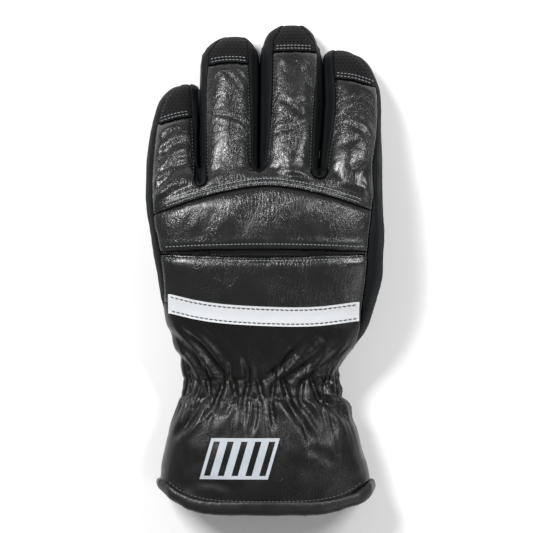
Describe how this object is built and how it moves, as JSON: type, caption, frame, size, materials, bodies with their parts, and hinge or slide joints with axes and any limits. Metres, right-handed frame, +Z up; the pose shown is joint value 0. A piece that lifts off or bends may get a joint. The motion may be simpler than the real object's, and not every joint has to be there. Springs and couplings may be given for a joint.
{
  "type": "firefighter glove",
  "caption": "Left-hand structural firefighting glove in black leather with a long gathered cuff, reflective tape, knuckle flex pleat and perforated fingertip caps, lying palm down.",
  "frame": {"origin": "on the ground under the middle of the glove's box", "axes": "+Z up, +Y from the cuff towards the fingertips, +X towards the thumb and index finger; the palm faces the ground"},
  "size_m": [0.1388, 0.29, 0.0595],
  "materials": {
    "back_leather": "semi-gloss black grain leather",
    "cuff_leather": "soft-sheen black leather",
    "hem_leather": "smooth black leather, rolled",
    "side_leather": "matte blue-black leather",
    "palm_leather": "matte black leather",
    "perforated_leather": "matte charcoal, dotted",
    "reflective_tape": "silver retroreflective",
    "silver_print": "flat silver-grey transfer print"
  },
  "bodies": {
    "root": {"finger_backs": "back_leather", "knuckle_panel": "back_leather", "flex_pleat": "back_leather", "hand_back_panel": "back_leather", "reflective_tape": "reflective_tape", "cuff": "cuff_leather", "cuff_hem": "hem_leather", "cuff_print": "silver_print", "outer_side_panel": "side_leather", "thumb_side_panel": "side_leather", "palm": "palm_leather", "thumb": "palm_leather", "fingertip_cap_pinky": "perforated_leather", "fingertip_cap_ring": "perforated_leather", "fingertip_cap_middle": "perforated_leather", "fingertip_cap_index": "perforated_leather", "fourchette_pinky_ring": "side_leather", "fourchette_ring_middle": "side_leather", "fourchette_middle_index": "side_leather"}
  },
  "joints": []
}
